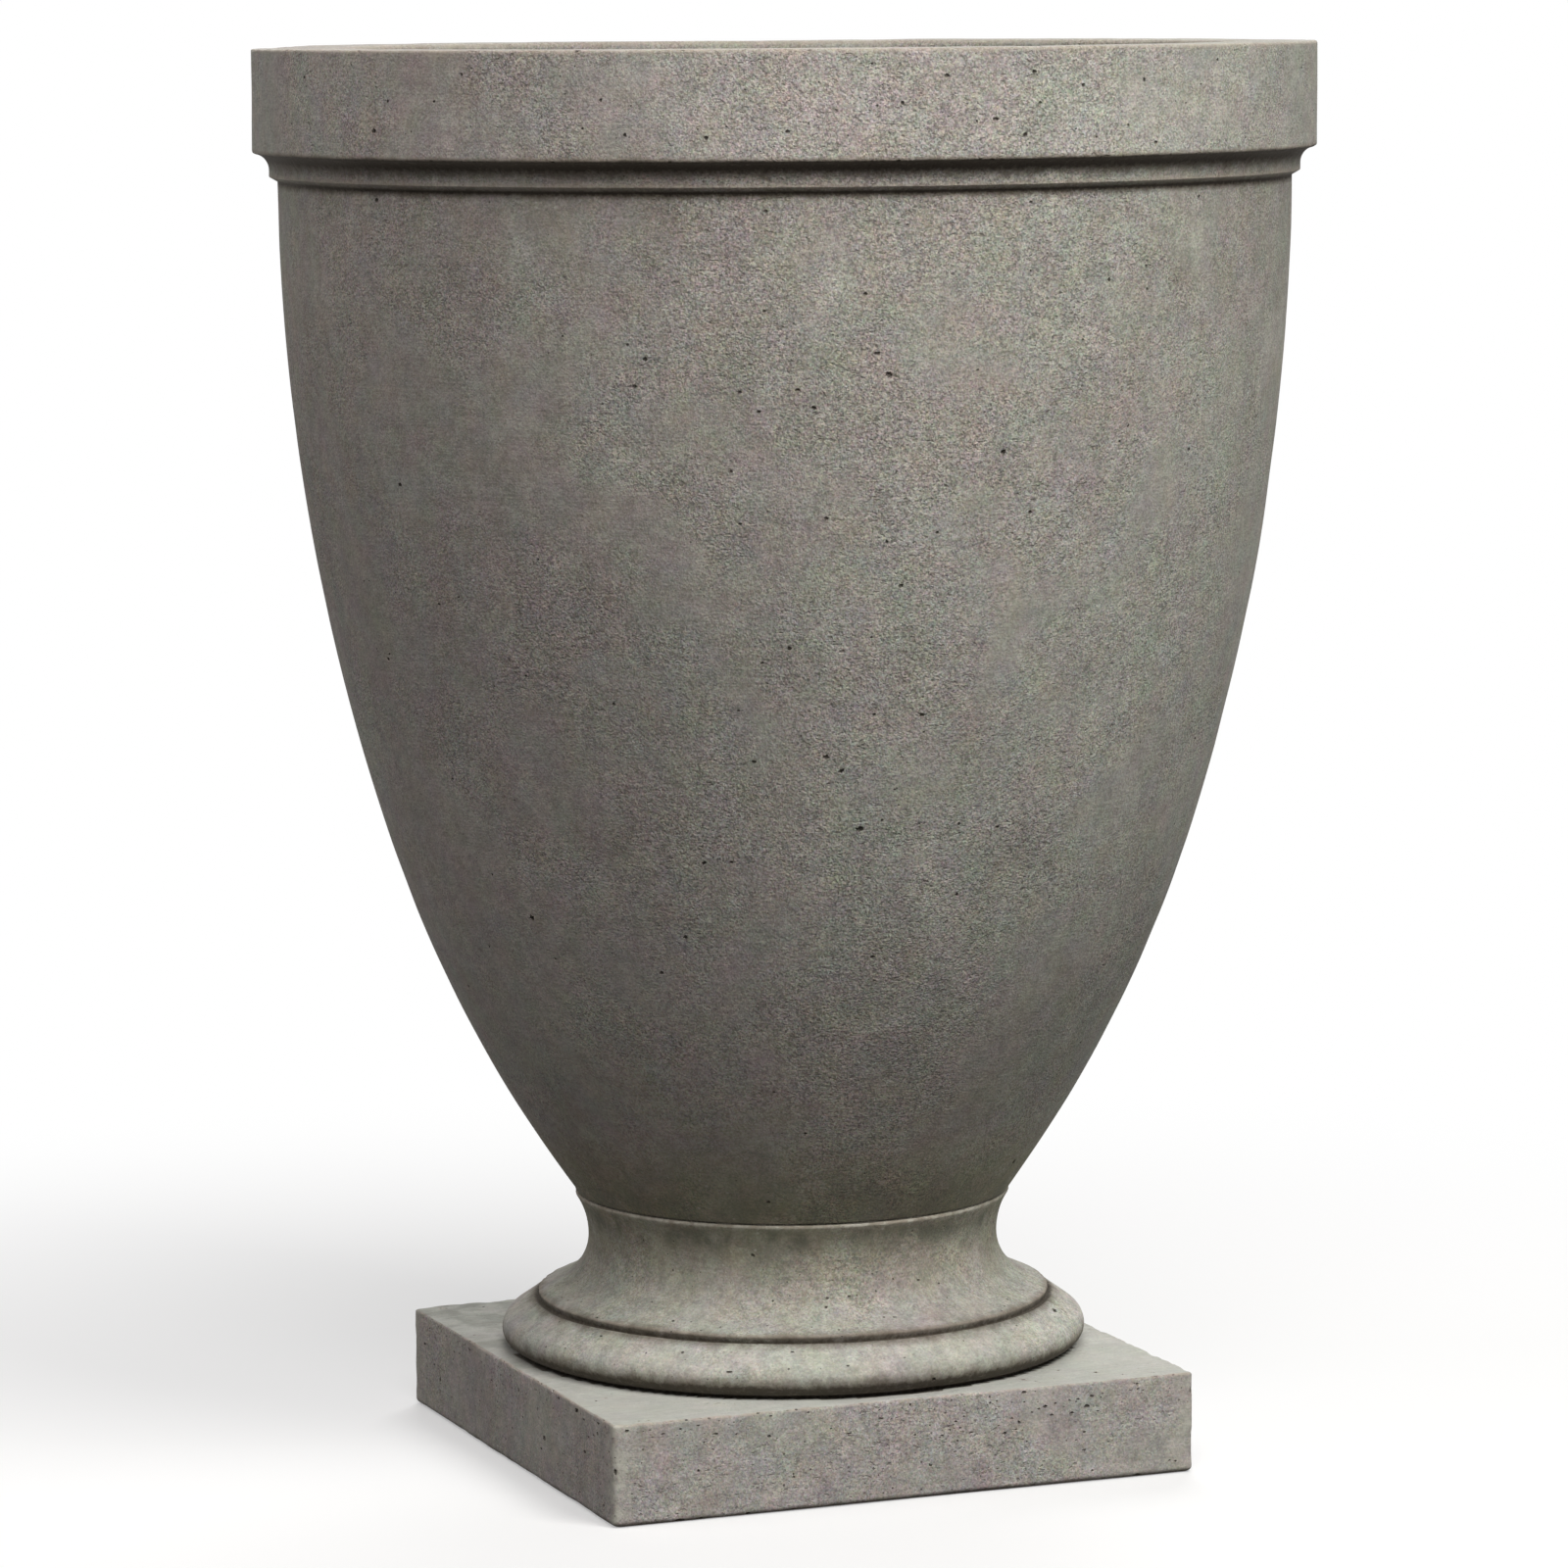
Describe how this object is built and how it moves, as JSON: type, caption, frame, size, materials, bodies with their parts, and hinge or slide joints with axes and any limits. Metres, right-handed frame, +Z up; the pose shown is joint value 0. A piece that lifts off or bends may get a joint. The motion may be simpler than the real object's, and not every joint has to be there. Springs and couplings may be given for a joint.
{
  "type": "urn planter",
  "caption": "Tall cast-stone garden urn: a deep egg-shaped bowl with a banded rim on a turned foot with a square plinth, open at the top, with a drain.",
  "frame": {"origin": "on the ground at the middle of the square plinth, on the urn's axis", "axes": "+Z up along the urn's axis; X and Y along the plinth's sides"},
  "size_m": [0.572, 0.5718, 0.763],
  "materials": {
    "bowl_stone": "matt, weathered, with small open air pits",
    "foot_stone": "matt, weathered, with small open air pits and worn edges",
    "mortar": "rough",
    "dowel_steel": "plain",
    "sleeve_plastic": "matt"
  },
  "bodies": {
    "root": {"bowl": "bowl_stone", "foot": "foot_stone", "neck_mortar": "mortar", "neck_dowels": "dowel_steel", "drain_sleeve": "sleeve_plastic"}
  },
  "joints": []
}
